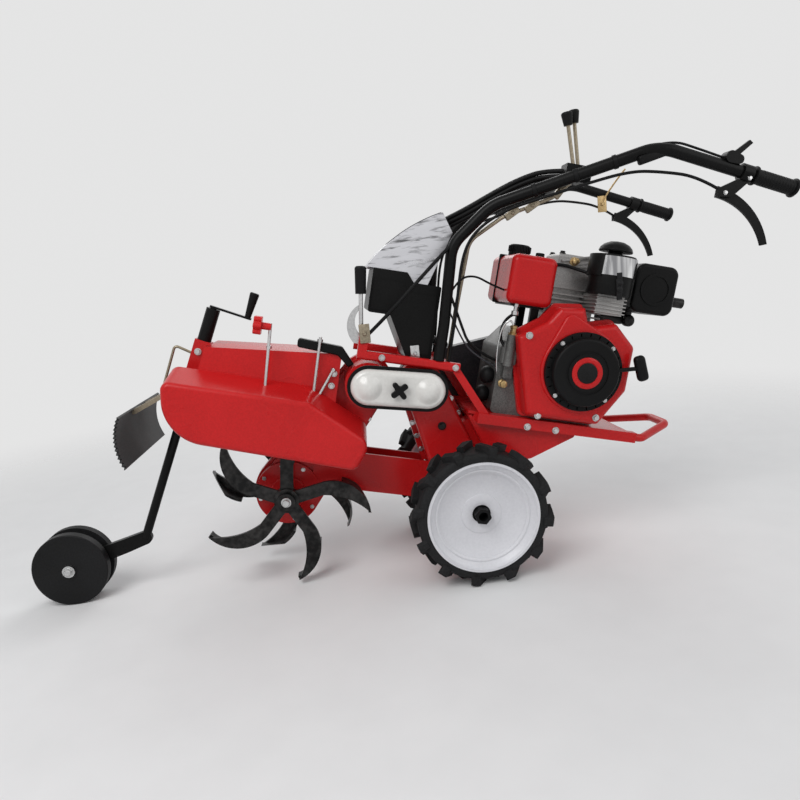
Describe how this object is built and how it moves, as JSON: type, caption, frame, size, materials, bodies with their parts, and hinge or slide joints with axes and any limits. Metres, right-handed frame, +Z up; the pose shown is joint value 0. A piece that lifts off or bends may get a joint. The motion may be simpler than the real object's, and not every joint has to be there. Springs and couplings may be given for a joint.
{
  "type": "ditching machine",
  "caption": "Walk-behind ditching machine: lugged driven wheels, a tine rotor under a hood, a crank-set depth column on gauge wheels, and an engine below a long handlebar.",
  "frame": {"origin": "on the ground below the centre of the overall box", "axes": "+X from the tine end to the handles, +Y from the near side of the picture to the far side, +Z up"},
  "size_m": [2.2118, 0.6852, 1.2601],
  "materials": {
    "air_cleaner": "matte",
    "air_cleaner_band": "polished",
    "axle_housings": "gloss",
    "belt_guard": "matte",
    "bumper": "gloss",
    "clutch_levers": "gloss",
    "column_bar": "gloss",
    "column_socket": "gloss",
    "console_box": "matte",
    "console_cowl": "gloss",
    "control_cables": "matte",
    "cover_gasket": "matte",
    "cover_knob": "matte",
    "crank": "satin",
    "cylinder": "satin",
    "drive_cover": "satin",
    "engine_block": "satin",
    "engine_platform": "gloss",
    "exhaust_pipes": "satin",
    "fan_shroud": "gloss",
    "fender_far": "gloss",
    "fender_near": "gloss",
    "flap": "matte",
    "flap_hanger": "satin",
    "fuel_tank": "gloss",
    "gauge_axle": "satin",
    "gauge_wheels": "satin",
    "gearbox_case": "satin",
    "grips": "matte",
    "handle_cross_tubes": "gloss",
    "handle_tube_far": "gloss",
    "handle_tube_near": "gloss",
    "hood_bar": "gloss",
    "hood_box": "gloss",
    "hood_rods": "gloss",
    "lever_clamps": "gloss",
    "lower_link": "gloss",
    "muffler": "gloss",
    "pull_handle": "matte",
    "recoil_starter": "matte",
    "rotor_shaft": "satin",
    "screw_tube": "gloss",
    "shift_knobs": "matte",
    "shift_rods": "satin",
    "side_case": "satin",
    "star_knob": "matte",
    "tank_bracket": "gloss",
    "tank_cap": "matte",
    "tine_set_far": "satin",
    "tine_set_near": "satin",
    "tool_case": "satin",
    "tool_lever": "satin",
    "tool_lever_grip": "matte",
    "top_frame": "gloss",
    "tyre_far": "matte",
    "tyre_near": "matte",
    "wheel_disc_far": "gloss",
    "wheel_disc_near": "gloss",
    "wheel_hub_far": "gloss",
    "wheel_hub_near": "gloss"
  },
  "bodies": {
    "chassis": {"air_cleaner": "air_cleaner", "air_cleaner_band": "air_cleaner_band", "axle_housings": "axle_housings", "belt_guard": "belt_guard", "bumper": "bumper", "clutch_levers": "clutch_levers", "column_socket": "column_socket", "console_box": "console_box", "console_cowl": "console_cowl", "control_cables": "control_cables", "cover_gasket": "cover_gasket", "cover_knob": "cover_knob", "crank": "crank", "cylinder": "cylinder", "drive_cover": "drive_cover", "engine_block": "engine_block", "engine_platform": "engine_platform", "exhaust_pipes": "exhaust_pipes", "fan_shroud": "fan_shroud", "fender_far": "fender_far", "fender_near": "fender_near", "flap": "flap", "flap_hanger": "flap_hanger", "fuel_tank": "fuel_tank", "gearbox_case": "gearbox_case", "grips": "grips", "handle_cross_tubes": "handle_cross_tubes", "handle_tube_far": "handle_tube_far", "handle_tube_near": "handle_tube_near", "hood_bar": "hood_bar", "hood_box": "hood_box", "hood_rods": "hood_rods", "lever_clamps": "lever_clamps", "lower_link": "lower_link", "muffler": "muffler", "pull_handle": "pull_handle", "recoil_starter": "recoil_starter", "screw_tube": "screw_tube", "shift_knobs": "shift_knobs", "shift_rods": "shift_rods", "side_case": "side_case", "star_knob": "star_knob", "tank_bracket": "tank_bracket", "tank_cap": "tank_cap", "tool_case": "tool_case", "tool_lever": "tool_lever", "tool_lever_grip": "tool_lever_grip", "top_frame": "top_frame"},
    "wheel_near": {"tyre_near": "tyre_near", "wheel_disc_near": "wheel_disc_near", "wheel_hub_near": "wheel_hub_near"},
    "wheel_far": {"tyre_far": "tyre_far", "wheel_disc_far": "wheel_disc_far", "wheel_hub_far": "wheel_hub_far"},
    "rotor": {"rotor_shaft": "rotor_shaft", "tine_set_far": "tine_set_far", "tine_set_near": "tine_set_near"},
    "depth_column": {"column_bar": "column_bar"},
    "gauge_pair": {"gauge_axle": "gauge_axle", "gauge_wheels": "gauge_wheels"}
  },
  "joints": [
    {"name": "wheel_near_spin", "type": "hinge", "parent": "chassis", "child": "wheel_near", "pos_m": [0.2189, -0.248, 0.2], "axis": [0, 1, 0], "continuous": true},
    {"name": "wheel_far_spin", "type": "hinge", "parent": "chassis", "child": "wheel_far", "pos_m": [0.2189, 0.248, 0.2], "axis": [0, 1, 0], "continuous": true},
    {"name": "rotor_spin", "type": "hinge", "parent": "chassis", "child": "rotor", "pos_m": [-0.32402, 0, 0.26766], "axis": [0, 1, 0], "continuous": true},
    {"name": "depth_slide", "type": "slide", "parent": "chassis", "child": "depth_column", "axis": [0.414, 0, 0.9103], "range_m": [0, 0.12]},
    {"name": "gauge_spin", "type": "hinge", "parent": "depth_column", "child": "gauge_pair", "pos_m": [-0.99588, 0, 0.11], "axis": [0, 1, 0], "continuous": true}
  ]
}
